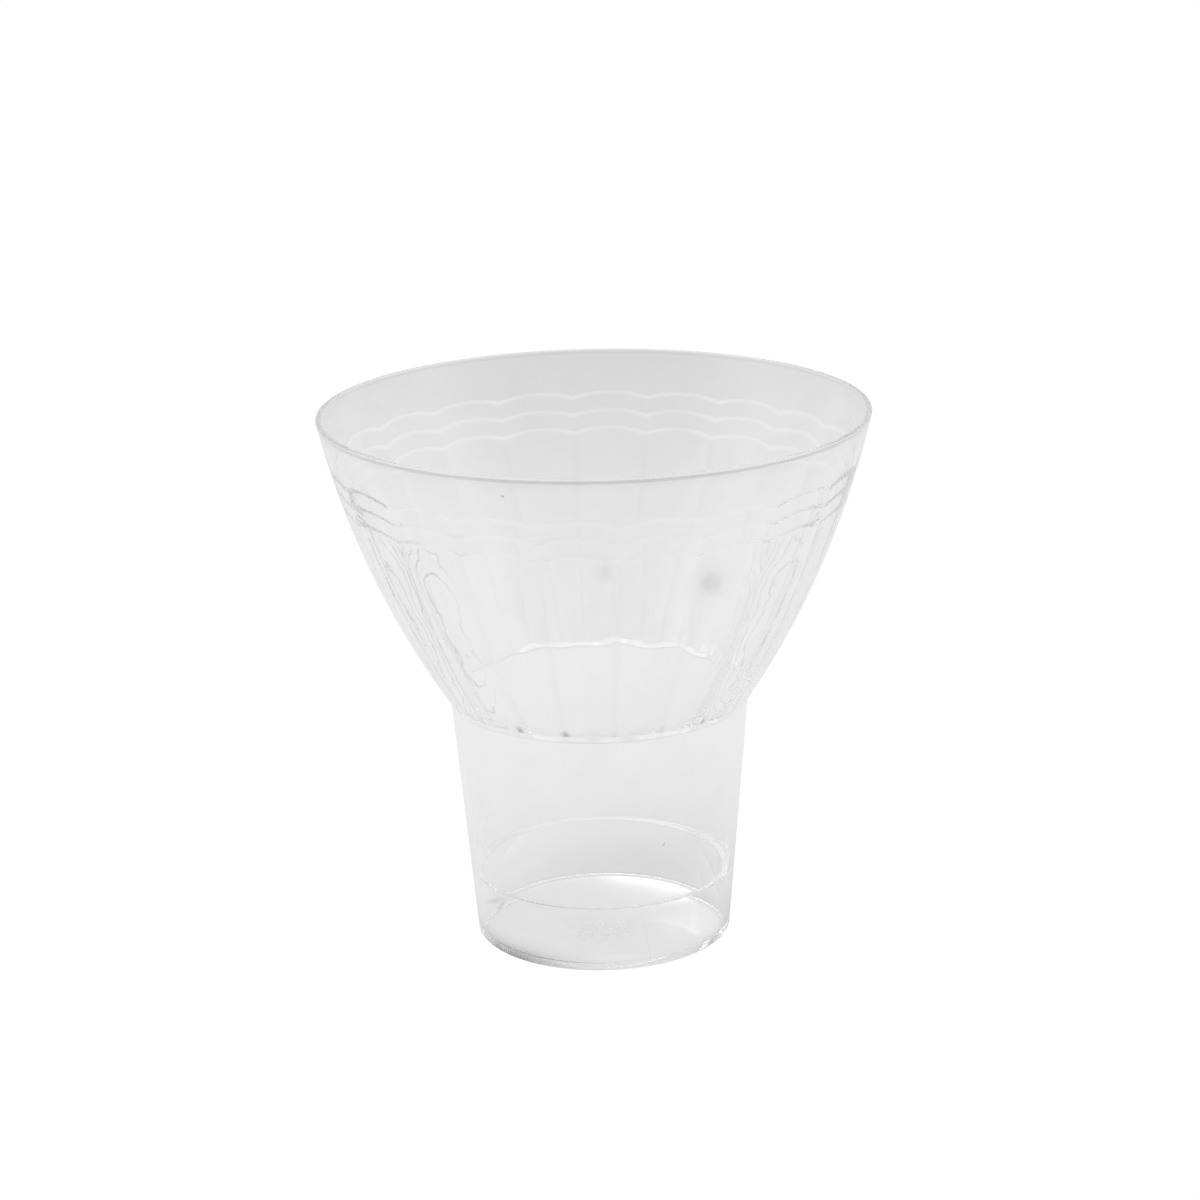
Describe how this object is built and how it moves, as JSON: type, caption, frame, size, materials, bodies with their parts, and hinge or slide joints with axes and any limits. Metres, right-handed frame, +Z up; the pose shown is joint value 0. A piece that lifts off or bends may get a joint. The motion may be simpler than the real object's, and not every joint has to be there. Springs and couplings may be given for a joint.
{
  "type": "parfait cup",
  "caption": "Clear rigid plastic parfait cup: a wide bowl with shallow inner flutes and scalloped steps, on a hollow tubular foot that opens into the bowl.",
  "frame": {"origin": "on the table, at the centre of the foot's standing ring", "axes": "+Z up along the cup's axis of turning, from the foot to the lip; -Y faces the viewer of the picture, +X is to that viewer's right"},
  "size_m": [0.0898, 0.0898, 0.0896],
  "materials": {
    "clear_bowl": "clear crystal polystyrene, polished mould finish, faint handling smudges",
    "clear_foot": "clear crystal polystyrene, polished mould finish, slightly frosted round the middle of the floor"
  },
  "bodies": {
    "root": {"bowl": "clear_bowl", "foot": "clear_foot"}
  },
  "joints": []
}
